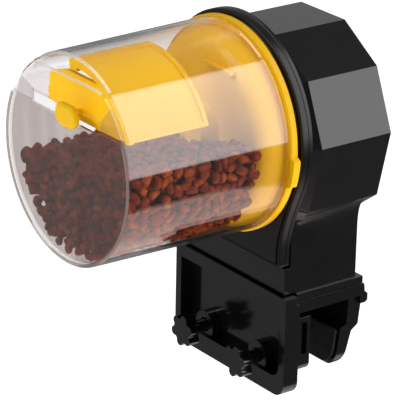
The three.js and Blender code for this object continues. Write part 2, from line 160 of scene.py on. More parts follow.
def make_sky():
    """A dim sky for reflections; the camera sees it white."""
    world = bpy.data.worlds.new("studio")
    scene.world = world
    world.use_nodes = True
    nodes, links = world.node_tree.nodes, world.node_tree.links
    coords = nodes.new("ShaderNodeTexCoord")
    split = nodes.new("ShaderNodeSeparateXYZ")
    grade = nodes.new("ShaderNodeMath")
    grade.operation = "MULTIPLY_ADD"
    grade.inputs[1].default_value = SKY_SLOPE
    grade.inputs[2].default_value = SKY_LEVEL
    seen = nodes.new("ShaderNodeMath")
    seen.operation = "MAXIMUM"
    path = nodes.new("ShaderNodeLightPath")
    background = nodes["Background"]
    background.inputs["Color"].default_value = (1, 0.99, 0.985, 1)
    links.new(coords.outputs["Generated"], split.inputs[0])
    links.new(split.outputs["X"], grade.inputs[0])
    links.new(grade.outputs[0], seen.inputs[0])
    links.new(path.outputs["Is Camera Ray"], seen.inputs[1])
    links.new(seen.outputs[0], background.inputs["Strength"])


def floor_material():
    """White where it is seen directly or through the drum, dark in reflections."""
    mat = bpy.data.materials.new("floor_white")
    mat.use_nodes = True
    nodes, links = mat.node_tree.nodes, mat.node_tree.links
    shader = nodes["Principled BSDF"]
    shader.inputs["Roughness"].default_value = 0.9
    shader.inputs["Emission Color"].default_value = (1, 1, 1, 1)
    path = nodes.new("ShaderNodeLightPath")
    direct = nodes.new("ShaderNodeMath")
    direct.operation = "LESS_THAN"
    direct.inputs[1].default_value = 0.5
    tone = nodes.new("ShaderNodeMix")
    tone.data_type = "RGBA"
    tone.inputs["A"].default_value = (0.02, 0.02, 0.02, 1)
    tone.inputs["B"].default_value = (0.9, 0.9, 0.9, 1)
    glow = nodes.new("ShaderNodeMapRange")
    glow.inputs["To Min"].default_value = FLOOR_GLOW_MIRRORED
    glow.inputs["To Max"].default_value = FLOOR_GLOW
    links.new(path.outputs["Glossy Depth"], direct.inputs[0])
    links.new(direct.outputs[0], tone.inputs["Factor"])
    links.new(direct.outputs[0], glow.inputs["Value"])
    links.new(tone.outputs["Result"], shader.inputs["Base Color"])
    links.new(glow.outputs["Result"], shader.inputs["Emission Strength"])
    return mat


def make_floor():
    bm = bmesh.new()
    bmesh.ops.create_grid(bm, x_segments=8, y_segments=8, size=FLOOR_HALF)
    mesh = bpy.data.meshes.new("floor")
    bm.to_mesh(mesh)
    bm.free()
    mesh.materials.append(floor_material())
    floor = bpy.data.objects.new("floor", mesh)
    floor.location = (0, 0, FLOOR_Z)
    floor.visible_glossy = False
    scene.collection.objects.link(floor)


def make_studio():
    make_sky()
    make_floor()
    set_beside(area_light("box_side", 1.00, 0.9, 2.2), 35.0, 0.50, 0.45)
    set_beside(area_light("box_low", 0.72, 0.66, 0.95, (1, 0.84, 0.77)), -80, 0.55, 0.03)
    set_beside(area_light("box_left", 0.75, 1.1, 0.26), 150, 0.60, 0.935)
    aim(area_light("fill_front", 0.7, 0.7, 5.4), (-0.45, -1.1, 0.85), (0, -0.03, 0.06))
    scene.view_settings.view_transform = "Standard"


# ---- materials ----------------------------------------------------------
class Shade:
    """A Principled material with a texture position in metres."""

    def __init__(self, name, color, roughness, **sockets):
        self.mat = bpy.data.materials.new(name)
        self.mat.use_nodes = True
        tree = self.mat.node_tree
        self.nodes, self.links = tree.nodes, tree.links
        self.shader = self.nodes["Principled BSDF"]
        self.shader.inputs["Base Color"].default_value = (*color, 1)
        self.shader.inputs["Roughness"].default_value = roughness
        for key, value in sockets.items():
            self.shader.inputs[key.replace("_", " ")].default_value = value
        self.coords = self.nodes.new("ShaderNodeTexCoord").outputs["Object"]

    def noise(self, scale, detail=2, stretch=None):
        node = self.nodes.new("ShaderNodeTexNoise")
        node.inputs["Scale"].default_value = scale
        node.inputs["Detail"].default_value = detail
        if stretch:
            mapping = self.nodes.new("ShaderNodeMapping")
            mapping.inputs["Scale"].default_value = stretch
            self.links.new(self.coords, mapping.inputs["Vector"])
            self.links.new(mapping.outputs[0], node.inputs["Vector"])
        else:
            self.links.new(self.coords, node.inputs["Vector"])
        return node.outputs["Fac"]

    def ramp(self, source, stops):
        node = self.nodes.new("ShaderNodeValToRGB")
        while len(node.color_ramp.elements) < len(stops):
            node.color_ramp.elements.new(0.5)
        for element, (at, color) in zip(node.color_ramp.elements, stops):
            element.position = at
            element.color = (*color, 1)
        self.links.new(source, node.inputs["Fac"])
        return node.outputs["Color"]

    def color(self, source, *stops):
        self.links.new(self.ramp(source, stops), self.shader.inputs["Base Color"])

    def rough(self, source, low, high):
        node = self.nodes.new("ShaderNodeMapRange")
        node.inputs["To Min"].default_value = low
        node.inputs["To Max"].default_value = high
        self.links.new(source, node.inputs["Value"])
        self.links.new(node.outputs["Result"], self.shader.inputs["Roughness"])

    def bump(self, source, depth, strength):
        node = self.nodes.new("ShaderNodeBump")
        node.inputs["Distance"].default_value = depth
        node.inputs["Strength"].default_value = strength
        self.links.new(source, node.inputs["Height"])
        self.links.new(node.outputs["Normal"], self.shader.inputs["Normal"])
        return self


def make_materials():
    m = {}
    s = Shade("satin_black", (0.003, 0.003, 0.003), 0.2, Specular_IOR_Level=0.85)
    s.color(s.noise(90, 3), (0.3, (0.0022, 0.0022, 0.0024)), (0.7, (0.0042, 0.0042, 0.0044)))
    s.rough(s.noise(260, 4), 0.10, 0.17)
    m["black"] = s.bump(s.noise(2600, 2), 0.00002, 0.35).mat

    s = Shade("ring_black", (0.003, 0.003, 0.0035), 0.3, Specular_IOR_Level=0.5)
    s.color(s.noise(120, 3), (0.3, (0.0024, 0.0024, 0.0028)), (0.7, (0.0045, 0.0045, 0.005)))
    s.rough(s.noise(300, 4), 0.25, 0.36)
    m["ring"] = s.bump(s.noise(3000, 2), 0.00002, 0.4).mat

    s = Shade("rubber", (0.012, 0.012, 0.013), 0.85, Specular_IOR_Level=0.3)
    s.color(s.noise(300, 3), (0.3, (0.009, 0.009, 0.010)), (0.7, (0.018, 0.018, 0.019)))
    m["rubber"] = s.bump(s.noise(1800, 3), 0.00006, 0.6).mat

    s = Shade("yellow_plastic", (0.95, 0.54, 0.004), 0.3, Specular_IOR_Level=0.2)
    s.color(s.noise(45, 2), (0.3, (0.94, 0.53, 0.003)), (0.7, (0.96, 0.56, 0.005)))
    s.rough(s.noise(240, 3), 0.24, 0.36)
    m["yellow"] = s.bump(s.noise(2200, 2), 0.00002, 0.25).mat

    # a darker, more orange copy of the yellow plastic for the drive cup: painted shade for the cup
    # deep inside the drum
    s = Shade("yellow_base_shaded", (0.92, 0.47, 0.003), 0.3, Specular_IOR_Level=0.2)
    s.color(s.noise(45, 2), (0.3, (0.90, 0.48, 0.002)), (0.7, (0.94, 0.52, 0.004)))
    s.rough(s.noise(240, 3), 0.24, 0.36)
    m["base"] = s.bump(s.noise(2200, 2), 0.00002, 0.25).mat

    film = dict(IOR=1.03, Transmission_Weight=1.0, Coat_Weight=1.0, Coat_Roughness=0.02, Coat_IOR=1.7)
    s = Shade("clear_wall", (0.91, 0.895, 0.895), 0.015, **film)
    s.rough(s.noise(160, 2), 0.008, 0.03)
    m["clear"] = s.bump(s.noise(60, 1), 0.00004, 0.12).mat

    film["Coat_Weight"] = 0.15
    s = Shade("clear_panel", (0.95, 0.93, 0.93), 0.02, **film)
    s.rough(s.noise(160, 2), 0.01, 0.03)
    m["panel"] = s.bump(s.noise(60, 1), 0.00004, 0.12).mat

    film["Coat_Weight"] = 0.7
    film["Transmission_Weight"] = 0.96
    s = Shade("clear_disc", (0.58, 0.54, 0.53), 0.06, **film)
    s.color(s.noise(230, 2, (1, 1, 0.05)), (0.35, (0.56, 0.50, 0.485)), (0.68, (0.64, 0.59, 0.58)))
    s.rough(s.noise(130, 2), 0.07, 0.14)
    m["disc"] = s.bump(s.noise(150, 1, (1, 1, 0.06)), 0.00006, 0.25).mat

    # the wall's front faces below the panel, grey-brown and half opaque: painted refraction, the band
    # that light bent through the rim shows there
    film["Coat_Weight"] = 0.5
    film["Transmission_Weight"] = 0.45
    s = Shade("clear_edge_painted_band", (0.38, 0.29, 0.265), 0.25, **film)
    s.rough(s.noise(300, 3), 0.12, 0.3)
    m["edge"] = s.mat

    # the clear edges at the upper chord and the outlet, cream and half opaque: painted highlight where
    # they catch the light
    film["Transmission_Weight"] = 0.45
    s = Shade("clear_lip_highlight", (0.95, 0.90, 0.82), 0.25, **film)
    s.rough(s.noise(300, 3), 0.15, 0.3)
    m["lip"] = s.mat

    s = Shade("kibble", (0.2, 0.03, 0.01), 0.7, Specular_IOR_Level=0.12)
    s.color(
        s.noise(230, 3),
        (0.28, (0.09, 0.008, 0.001)),
        (0.5, (0.20, 0.024, 0.003)),
        (0.72, (0.38, 0.080, 0.010)),
    )
    m["feed"] = s.bump(s.noise(1500, 4), 0.0002, 0.7).mat

    # dark brown for the lump inside the pile: painted shade for the depths between the pellets
    s = Shade("feed_core_shade", (0.05, 0.012, 0.004), 0.9)
    s.color(s.noise(400, 3), (0.3, (0.030, 0.007, 0.002)), (0.7, (0.075, 0.018, 0.006)))
    m["core_shade"] = s.bump(s.noise(700, 4), 0.0006, 0.8).mat

    s = Shade("steel", (0.56, 0.56, 0.57), 0.3, Metallic=1.0)
    s.rough(s.noise(500, 3), 0.22, 0.4)
    m["steel"] = s.bump(s.noise(900, 3, (1, 1, 6)), 0.00002, 0.4).mat

    s = Shade("brass", (0.60, 0.40, 0.15), 0.3, Metallic=1.0)
    s.rough(s.noise(500, 3), 0.22, 0.42)
    m["brass"] = s.mat

    s = Shade("nylon", (0.75, 0.74, 0.70), 0.5)
    s.color(s.noise(150, 3), (0.3, (0.70, 0.69, 0.65)), (0.7, (0.78, 0.77, 0.73)))
    m["white"] = s.bump(s.noise(1500, 2), 0.00003, 0.4).mat

    s = Shade("board", (0.02, 0.12, 0.045), 0.35)
    s.color(s.noise(220, 4), (0.35, (0.012, 0.085, 0.03)), (0.65, (0.03, 0.15, 0.06)))
    m["green"] = s.mat

    s = Shade("grey_plastic", (0.14, 0.15, 0.16), 0.5)
    s.color(s.noise(200, 3), (0.3, (0.12, 0.13, 0.14)), (0.7, (0.17, 0.18, 0.19)))
    m["grey"] = s.bump(s.noise(1800, 2), 0.00003, 0.4).mat

    s = Shade("cell_sleeve", (0.03, 0.12, 0.30), 0.35)
    s.color(s.noise(160, 3), (0.35, (0.022, 0.10, 0.27)), (0.65, (0.04, 0.14, 0.34)))
    m["cell"] = s.mat

    s = Shade("window_tint", (0.26, 0.30, 0.245), 0.1, Coat_Weight=0.6)
    s.color(s.noise(90, 2), (0.3, (0.24, 0.28, 0.225)), (0.7, (0.29, 0.33, 0.27)))
    s.rough(s.noise(120, 2), 0.06, 0.14)
    m["window"] = s.mat

    s = Shade("segment_dark", (0.02, 0.022, 0.02), 0.4)
    s.color(s.noise(300, 2), (0.3, (0.016, 0.018, 0.016)), (0.7, (0.028, 0.03, 0.028)))
    m["segment"] = s.mat
    return m


# ---- mesh builders ------------------------------------------------------
def to_object(name, bm, material):
    """The bmesh, in mm and head coordinates, as an object in metres with its faces out."""
    bmesh.ops.remove_doubles(bm, verts=bm.verts, dist=1e-4)
    bmesh.ops.recalc_face_normals(bm, faces=bm.faces)
    bmesh.ops.transform(bm, matrix=Matrix.Scale(MM, 4) @ Matrix.Translation(HEAD), verts=bm.verts)
    mesh = bpy.data.meshes.new(name)
    bm.to_mesh(mesh)
    bm.free()
    obj = bpy.data.objects.new(name, mesh)
    scene.collection.objects.link(obj)
    if material:
        mesh.materials.append(MAT[material])
    return obj


def loft(rings, closed=False):
    """Faces between rings of points; the ends are capped unless the last ring meets the first."""
    bm = bmesh.new()
    loops = [[bm.verts.new(p) for p in ring] for ring in rings]
    pairs = list(zip(loops, loops[1:]))
    if closed:
        pairs.append((loops[-1], loops[0]))
    for a, b in pairs:
        for i in range(len(a)):
            j = (i + 1) % len(a)
            bm.faces.new((a[i], a[j], b[j], b[i]))
    if not closed:
        bm.faces.new(loops[0])
        bm.faces.new(reversed(loops[-1]))
    return bm


def stack(outline, levels):
    """An (x, z) outline run along y; levels are (inset, y)."""
    return loft([[(x, y, z) for x, z in inset(outline, d)] for d, y in levels])


def inset(outline, d):
    """The closed outline moved in by d along each corner's mitre."""
    if not d:
        return outline
    n = len(outline)
    area = sum(Vector(outline[i]).cross(Vector(outline[(i + 1) % n])) for i in range(n))
    turn = 1 if area > 0 else -1
    out = []
    for i in range(n):
        p, q, r = (Vector(outline[k % n]) for k in (i - 1, i, i + 1))
        a, b = (q - p).normalized(), (r - q).normalized()
        na, nb = Vector((-a.y, a.x)) * turn, Vector((-b.y, b.x)) * turn
        mitre = na + nb
        mitre *= d / max(0.3, mitre.length_squared / 2)
        out.append((q.x + mitre.x, q.y + mitre.y))
    return out


def turned(profile, segments):
    """A closed (radius, y) profile turned about the y axis."""
    rings = []
    for i in range(segments):
        a = 2 * math.pi * i / segments
        rings.append([(r * math.cos(a), y, r * math.sin(a)) for r, y in profile])
    return loft(rings, closed=True)


def rod(radius, y0, y1, segments, x=0, z=0):
    """A round bar along y."""
    turns = [2 * math.pi * i / segments for i in range(segments)]
    circle = [(x + radius * math.cos(a), z + radius * math.sin(a)) for a in turns]
    return loft([[(u, y, v) for u, v in circle] for y in (y0, y1)])


def block(x, y, z):
    return loft([[(x[0], y[0], k), (x[1], y[0], k), (x[1], y[1], k), (x[0], y[1], k)] for k in z])


def arc(cx, cz, r, start, stop, steps):
    """Points on an arc, angles in degrees."""
    points = []
    for i in range(steps + 1):
        a = math.radians(start + (stop - start) * i / steps)
        points.append((cx + r * math.cos(a), cz + r * math.sin(a)))
    return points


def bake(obj):
    """Applies the object's modifiers to its mesh."""
    graph = bpy.context.evaluated_depsgraph_get()
    graph.update()
    mesh = bpy.data.meshes.new_from_object(obj.evaluated_get(graph))
    obj.modifiers.clear()
    obj.data = mesh


def carve(obj, *tools, operation="DIFFERENCE"):
    """Cuts each tool bmesh out of the object, or joins it on."""
    for bm in tools:
        tool = to_object("tool", bm, None)
        mod = obj.modifiers.new("carve", "BOOLEAN")
        mod.operation = operation
        mod.solver = "EXACT"
        mod.object = tool
        bake(obj)
        bpy.data.objects.remove(tool)


def weld(obj, *tools):
    carve(obj, *tools, operation="UNION")


def soften(obj, width, segments=2, angle=BEVEL_ANGLE):
    """Rounds the object's sharp edges and shades its curves smooth."""
    bm = bmesh.new()
    bm.from_mesh(obj.data)
    bmesh.ops.remove_doubles(bm, verts=bm.verts, dist=2e-7)
    bmesh.ops.dissolve_limit(bm, angle_limit=math.radians(0.6), verts=bm.verts, edges=bm.edges)
    bm.to_mesh(obj.data)
    bm.free()
    if width:
        mod = obj.modifiers.new("edge", "BEVEL")
        mod.width = width * MM
        mod.segments = segments
        mod.limit_method = "ANGLE"
        mod.angle_limit = math.radians(angle)
        mod.miter_outer = "MITER_ARC"
        mod.use_clamp_overlap = True
        mod.harden_normals = False
        bake(obj)
    shade(obj)
    mod = obj.modifiers.new("normals", "WEIGHTED_NORMAL")
    mod.keep_sharp = True
    mod.weight = 80
    bake(obj)


def shade(obj, angle=SMOOTH_ANGLE):
    obj.data.shade_smooth()
    obj.data.set_sharp_from_angle(angle=math.radians(angle))


def joined(name, objs):
    """One object from several."""
    bm = bmesh.new()
    for o in objs:
        bm.from_mesh(o.data)
    mesh = bpy.data.meshes.new(name)
    bm.to_mesh(mesh)
    bm.free()
    for m in objs[0].data.materials:
        mesh.materials.append(m)
    for o in objs:
        bpy.data.objects.remove(o)
    obj = bpy.data.objects.new(name, mesh)
    scene.collection.objects.link(obj)
    return obj


def place(obj, name, body, slot, *nodes):
    obj.name = name
    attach(obj, body)
    if nodes:
        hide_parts(*nodes)


def raw_copy(node, name, material):
    """A copy of a CAD node's mesh with its own material."""
    obj = bpy.data.objects.new(name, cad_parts[node].data.copy())
    scene.collection.objects.link(obj)
    obj.data.materials.clear()
    obj.data.materials.append(MAT[material])
    return obj


def copy_node(node, name, material, body, slot, width, angle=BEVEL_ANGLE):
    """A finely edged copy of a CAD node that stands for it."""
    obj = raw_copy(node, name, material)
    soften(obj, width, angle=angle)
    place(obj, name, body, slot, node)


# ---- drum ---------------------------------------------------------------
RIM_EDGE = 0.45  # softening of the wall's front and back edges


def wall_section(deg, front):
    """The wall's (radius, y) section at an angle, as points."""
    a = math.radians(deg)
    slope = (DRUM_BACK_R - DRUM_R) / DRUM_LEN
    profile = [
        (DRUM_R + slope * front, front + RIM_EDGE),
        (DRUM_BACK_R, DRUM_LEN - RIM_EDGE),
        (DRUM_BACK_R - RIM_EDGE, DRUM_LEN),
        (DRUM_BACK_R - WALL + RIM_EDGE, DRUM_LEN),
        (DRUM_BACK_R - WALL, DRUM_LEN - RIM_EDGE),
        (DRUM_R - WALL, front + RIM_EDGE),
        (DRUM_R - WALL + RIM_EDGE, front),
        (DRUM_R - RIM_EDGE, front),
    ]
    return [(r * math.cos(a), y, r * math.sin(a)) for r, y in profile]


def drum_wall(steps=240, riser=0.05):
    """The clear tube; its front edge steps back above each chord."""
    low, high = (math.degrees(math.asin(chord / DRUM_R)) for chord in (LOWER_CHORD, UPPER_CHORD))

    def front_at(deg):
        rise = deg if deg <= 90 else 180 - deg
        if rise > high:
            return OUTLET_SETBACK
        return PANEL_STEP if rise > low else 0.0

    marks = [-90 + 360 * i / steps for i in range(steps)]
    for step in (low, high, 180 - low, 180 - high):
        marks += [step - riser, step + riser]
    return loft([wall_section(deg, front_at(deg)) for deg in sorted(marks)], closed=True)


def chord_disc(radius, low, high, y0, y1, edge):
    """A disc cut flat above, and below unless low is under it, as a plate with softened rims."""
    top = math.degrees(math.asin(high / radius))
    if low <= -radius:
        outline = arc(0, 0, radius, -180 - top, top, 150)
    else:
        bottom = math.degrees(math.asin(low / radius))
        outline = arc(0, 0, radius, bottom, top, 24) + arc(0, 0, radius, 180 - top, 180 - bottom, 24)
    return stack(outline, [(edge, y0), (0, y0 + edge), (0, y1 - edge), (edge, y1)])


DRUM_MATERIALS = ("clear", "edge", "disc", "panel", "lip")


def drum_face_material(face):
    """The name of the material for one of the drum's faces."""
    x, y, z = face.center / MM - HEAD
    on_wall = math.hypot(x, z) > DRUM_R - WALL - 0.1
    near_front = y < 5
    flat = abs(face.normal.y) > 0.8
    # painted refraction: grey-brown on the wall's front faces below the panel
    if on_wall and y < 0.5 and z < LOWER_CHORD:
        return "edge"
    # painted highlight: cream on the clear edges at the upper chord and the outlet
    if face.normal.z > 0.4 and near_front and abs(z - UPPER_CHORD) < 0.4:
        return "lip"
    if on_wall and y < OUTLET_SETBACK + 0.6 and z > UPPER_CHORD + 0.1:
        return "lip"
    if flat and near_front:
        return "panel" if z > LOWER_CHORD else "disc"
    return "clear"


def make_drum():
    drum = to_object("drum_clear", drum_wall(), DRUM_MATERIALS[0])
    reach = DRUM_R - WALL + 0.4
    weld(drum, chord_disc(reach, -DRUM_R, UPPER_CHORD, *DISC_Y, 0.1))
    weld(drum, chord_disc(reach, LOWER_CHORD, UPPER_CHORD, PANEL_FRONT, DISC_Y[0] + 0.5, 0.25))
    carve(drum, block(SLOT_X, (-1, 6), SLOT_Z))
    for key in DRUM_MATERIALS[1:]:
        drum.data.materials.append(MAT[key])
    for face in drum.data.polygons:
        face.material_index = DRUM_MATERIALS.index(drum_face_material(face))
    shade(drum)
    drum.visible_shadow = False
    place(drum, "drum_clear", "drum", "clear_plastic", "drum_shell")


# ---- gate and drive base ------------------------------------------------
def band(inner, outer, start, stop, front, back, steps=8):
    """A piece of tube wall between two angles."""
    outline = arc(0, 0, outer, start, stop, steps)
    outline += reversed(arc(0, 0, inner, start, stop, steps))
    return stack(outline, [(0, front), (0, back)])


def make_gate():
    r0, r1 = GATE_R
    a0, a1 = GATE_DEG
    y0, y1 = GATE_Y

    gate = to_object("gate", band(r0, r1, a0, a1, y0, y1, 48), "yellow")
    r = r1 - 0.2
    start = math.degrees(math.asin((KNOB[1] - 3.2) / r))
    face = [(x, min(z, UPPER_CHORD - 0.2)) for x, z in arc(0, 0, r, start, 101, 48)]
    # the front plate's edge at -x comes down in three round steps
    face += arc(-12.0, 22.6, 3.6, 110, 205, 8)
    face += arc(-13.0, 18.6, 3.3, 140, 250, 8)
    face += arc(-10.2, 14.9, 1.5, 170, 270, 6)
    # beads along the two ends and the back edge, the front plate and the knob's stem
    weld(
        gate,
        band(r0 - 1.2, r1 + 0.5, a1 - 7.5, a1, y0, y1),
        band(r0 - 0.6, r1 + 0.55, a0, a0 + 2.6, y0, y1),
        band(r0 - 0.6, r1 + 0.55, a0, a1, y1 - 1.5, y1, 48),
        stack(face, [(0, y0 + 0.02), (0, y0 + 1.6)]),
        rod(1.3, -0.5, y0 + 0.5, 24, *KNOB),
    )
    soften(gate, 0.3, 3)
    x, z = KNOB[0] + 0.9, KNOB[1] + 0.2
    grip = arc(x + 1.9, z, 3.9, -90, 90, 20) + arc(x - 1.9, z, 3.9, 90, 270, 20)
    knob = to_object("gate_knob", stack(grip, [(0, y) for y in KNOB_Y]), "yellow")
    soften(knob, 1.1, 4)
    done = joined("gate", [gate, knob])
    place(done, "gate", "gate", "yellow_plastic", "feed_gate")


def base_shell():
    """The cup with its rounded bottom and the flange, as a (radius, y) profile."""
    y0, y1 = BASE_Y
    r = BASE_R
    bowl = 7.5
    edge = 0.4
    profile = [(0.001, y0)]
    for i in range(11):
        a = math.radians(9 * i)
        profile.append((r - bowl + bowl * math.sin(a), y0 + bowl - bowl * math.cos(a)))
    profile += [
        (r, FLANGE_FRONT),
        (FLANGE_R - edge, FLANGE_FRONT),
        (FLANGE_R, FLANGE_FRONT + edge),
        (FLANGE_R, y1 - edge),
        (FLANGE_R - edge, y1),
        (r - 2, y1),
        (r - 2, y0 + 8),
        (r - 8, y0 + 2),
        (0.001, y0 + 2),
    ]
    return turned(profile, 160)


def base_dome():
    y0 = BASE_Y[0]
    profile = [
        (0.001, 50), (5.0, 50), (6.0, 50.8),
        (8.2, y0 - 1.0), (9.6, y0 - 0.05), (10.4, y0 + 0.4), (0.001, y0 + 0.4),
    ]
    return turned(profile, 64)


def base_lug(deg):
    outline = arc(0, 0, LUG_R, deg - 5, deg + 9, 8)
    outline += reversed(arc(0, 0, FLANGE_R - 0.8, deg - 7.5, deg + 11.5, 8))
    return stack(outline, [(0, FLANGE_FRONT), (0, BASE_Y[1])])


def base_web(deg):
    web = block((6.5, 25.0), (BASE_Y[0] + 1.9, BASE_Y[1] - 4), (-0.8, 0.8))
    turn = Matrix.Rotation(math.radians(deg), 3, "Y")
    bmesh.ops.rotate(web, cent=(0, 0, 0), matrix=turn, verts=web.verts)
    return web


def make_base():
    y0, y1 = BASE_Y
    # the cup and its parts wear the darker copy of the yellow, as painted shade
    base = to_object("drive_cup", base_shell(), "base")
    weld(base, base_dome())
    tab = stack([(1, 23.4), (16, 22.9), (16, 24.3), (1, 24.9)], [(0, 52.6), (0, y0 + 0.4)])
    hub = turned([(7, y0 + 2.2), (7, y1 - 0.6), (3.2, y1 - 0.6), (3.2, y0 + 2.2)], 48)
    parts = [to_object("tab", tab, "base")]
    parts += [to_object("lug", base_lug(deg), "base") for deg in (-12, 168)]
    parts.append(to_object("hub", hub, "base"))
    parts += [to_object("web", base_web(deg), "base") for deg in range(0, 360, 60)]
    for part in parts:
        soften(part, 0.25, 2)
    soften(base, 0.0)
    place(joined("drive_cup", [base] + parts), "drive_cup", "drive", "yellow_plastic", "drive_base")


# ---- feed ---------------------------------------------------------------
def surface_height(x):
    """Height of the feed's top over the axis, across the drum."""
    points = [(-40, -9.0), (-31, -6.5), (-18, -3.4), (2, -1.2), (18, 1.8), (40, 4.4)]
    for (x0, z0), (x1, z1) in zip(points, points[1:]):
        if x <= x1:
            return z0 + (z1 - z0) * (x - x0) / (x1 - x0)
    return points[-1][1]


def pellet_mesh(bm, place_at, direction, length, radius, bend, rng, sides=8):
    """One short bent rounded rod, added to bm."""
    axis = direction.normalized()
    side = axis.orthogonal().normalized()
    side.rotate(Matrix.Rotation(rng.random() * FULL_TURN, 3, axis))
    other = axis.cross(side)
    rows = []
    half = [(0.5, 0.0), (0.47, 0.5), (0.38, 0.86), (0.2, 1.0)]
    stations = [(-t, k) for t, k in half] + [(0.0, 1.04)] + half[::-1]
    for t, k in stations:
        centre = place_at + axis * (t * length) + side * (bend * (0.25 - t * t) * 4)
        if k == 0:
            rows.append([bm.verts.new(centre)])
            continue
        row = []
        for i in range(sides):
            a = 2 * math.pi * i / sides
            out = side * math.cos(a) + other * math.sin(a)
            row.append(bm.verts.new(centre + out * radius * k * rng.uniform(0.84, 1.08)))
        rows.append(row)
    for a, b in zip(rows, rows[1:]):
        for i in range(sides):
            j = (i + 1) % sides
            if len(a) == 1:
                bm.faces.new((a[0], b[i], b[j]))
            elif len(b) == 1:
                bm.faces.new((a[i], b[0], a[j]))
            else:
                bm.faces.new((a[i], b[i], b[j], a[j]))


def scatter_pellets():
    """Pellets as (centre, direction, length, radius, bend), laid without crowding."""
    rng = random.Random(FEED_SEED)
    y_front, y_back = FEED_Y
    pellets = []
    cells = {}

    def balls(c, d, length, r):
        span = length / 2 - r
        return [c - d * span, c, c + d * span]

    def cell_of(p):
        return tuple(int(math.floor(v / CELL)) for v in p)

    def near(p):
        """The points already laid in the boxes around p."""
        key = cell_of(p)
        for i, j, k in product((-1, 0, 1), repeat=3):
            yield from cells.get((key[0] + i, key[1] + j, key[2] + k), ())

    def clear(points, reach):
        return all((p - q).length_squared >= reach * reach for p in points for q in near(p))

    def fits(points, r):
        for p in points:
            if p.y - r < y_front or p.y + r > y_back + 0.2:
                return False
            if math.hypot(p.x, p.z) + r > FEED_R:
                return False
            if math.hypot(p.x, p.z) < 9.6 + r and p.y > 48.5 - r:
                return False
        return True

    def attempt(c, d, reach, r):
        length = rng.uniform(*PELLET_LEN)
        points = balls(c, d, length, r)
        if not fits(points, r) or not clear(points, reach):
            return
        for p in points:
            cells.setdefault(cell_of(p), []).append(p)
        pellets.append((c, d, length, r, rng.uniform(-0.5, 0.5)))

    def spread(u, v, w, lean):
        """A random direction mostly in the plane of u and v."""
        a = rng.random() * 2 * math.pi
        return (u * math.cos(a) + v * math.sin(a) + w * rng.uniform(-lean, lean)).normalized()

    def outward(deg):
        a = math.radians(deg)
        return Vector((math.cos(a), 0, math.sin(a)))

    for row in range(2):  # rows in the corner of wall and disc
        deg = -188.0
        while deg < 6:
            r = rng.uniform(1.35, 1.6)
            out = outward(deg + rng.uniform(-1, 1))
            c = out * (FEED_R - r) + ALONG * (y_front + r + 0.05 + row * 3.0)
            if c.z < surface_height(c.x) - 0.8:
                attempt(c, spread(out.cross(ALONG), ALONG, out, 0.05), 2.1, r)
            deg += 3.4
    for layer, tries in ((0.0, 9000), (1.9, 3000)):  # against the wall
        for _ in range(tries):
            r = rng.uniform(*PELLET_R)
            out = outward(rng.uniform(-192, 9))
            c = out * (FEED_R - r - layer - rng.random() * 0.15)
            c += ALONG * rng.uniform(y_front + 1.3, y_back - 1.2)
            if c.z > surface_height(c.x) - 0.6:
                continue
            attempt(c, spread(ALONG, out.cross(ALONG), out, 0.1), PELLET_SPACING, r)
    for depth, tries in ((y_front + 0.1, 5000), (y_front + 2.4, 2200), (y_back - 3.4, 1200)):
        for _ in range(tries):  # against the disc, behind those, and at the back
            r = rng.uniform(*PELLET_R)
            x, z = rng.uniform(-31.5, 31.5), rng.uniform(-31.5, 5)
            if z > surface_height(x) - 0.6:
                continue
            c = Vector((x, depth + r + rng.random() * 0.3, z))
            attempt(c, spread(ACROSS, UPRIGHT, ALONG, 0.12), PELLET_SPACING, r)
    slope = Vector((1, 0, 0.1))
    for drop, tries in ((1.2, 4200), (3.2, 3000), (5.2, 1500)):  # on top
        for _ in range(tries):
            x, y = rng.uniform(-31, 31), rng.uniform(y_front + 1.3, y_back - 1.2)
            c = Vector((x, y, surface_height(x) - drop - rng.uniform(-0.5, 0.6)))
            d = spread(slope, ALONG, UPRIGHT, 0.45)
            attempt(c, d, PELLET_SPACING, rng.uniform(*PELLET_R))
    return pellets, rng


def make_feed():
    pellets, rng = scatter_pellets()
    bm = bmesh.new()
    for c, d, length, r, bend in pellets:
        pellet_mesh(bm, c, d, length, r, bend, rng)
    pile = to_object("feed_pellets", bm, "feed")
    pile.data.shade_smooth()
    place(pile, "feed_pellets", "drum", "dry_feed", "feed_pile")

    # a dark lump fills the pile behind the pellets, as painted shade for the gaps between them
    outline = [(x, min(z, surface_height(x) - 3.2)) for x, z in arc(0, 0, 30.2, -188, 6, 60)]
    core = to_object("feed_core", stack(outline, [(0.8, 5.4), (0, 6.2), (0, 48.4)]), "core_shade")
    shade(core, 40)
    place(core, "feed_core", "drum", "dry_feed", "feed_pile")


# ---- head ---------------------------------------------------------------
def bezier(p0, p1, p2, p3, steps):
    """Points along a cubic curve, without its start."""
    points = []
    for i in range(1, steps + 1):
        t = i / steps
        u = 1 - t
        p = p0 * u ** 3 + p1 * 3 * t * u ** 2 + p2 * 3 * t * t * u + p3 * t ** 3
        points.append((p.x, p.y))
    return points


def mirrored(half):
    """The right half of an (x, z) outline, top to bottom, with its left half."""
    return list(half) + [(-x, z) for x, z in reversed(half)]


def ring_outline(step=3):
    """The ring, running down in a hollow curve to the neck's front plate."""
    half = []
    leave = -24
    for deg in range(90 - step // 2, leave - 1, -step):
        a = math.radians(deg)
        half.append((RING_R * math.cos(a), RING_R * math.sin(a)))
    x0, z0 = half[-1]
    ax = math.radians(leave)
    tangent = Vector((math.sin(ax), -math.cos(ax)))
    p0, p3 = Vector((x0, z0)), Vector((NECK_X, -38.5))
    p1, p2 = p0 + tangent * 6.0, p3 + Vector((0, 7.5))
    half += bezier(p0, p1, p2, p3, 12)
    half += arc(NECK_X - 1.8, RING_BOTTOM + 1.8, 1.8, 0, -90, 6)
    return mirrored(half)


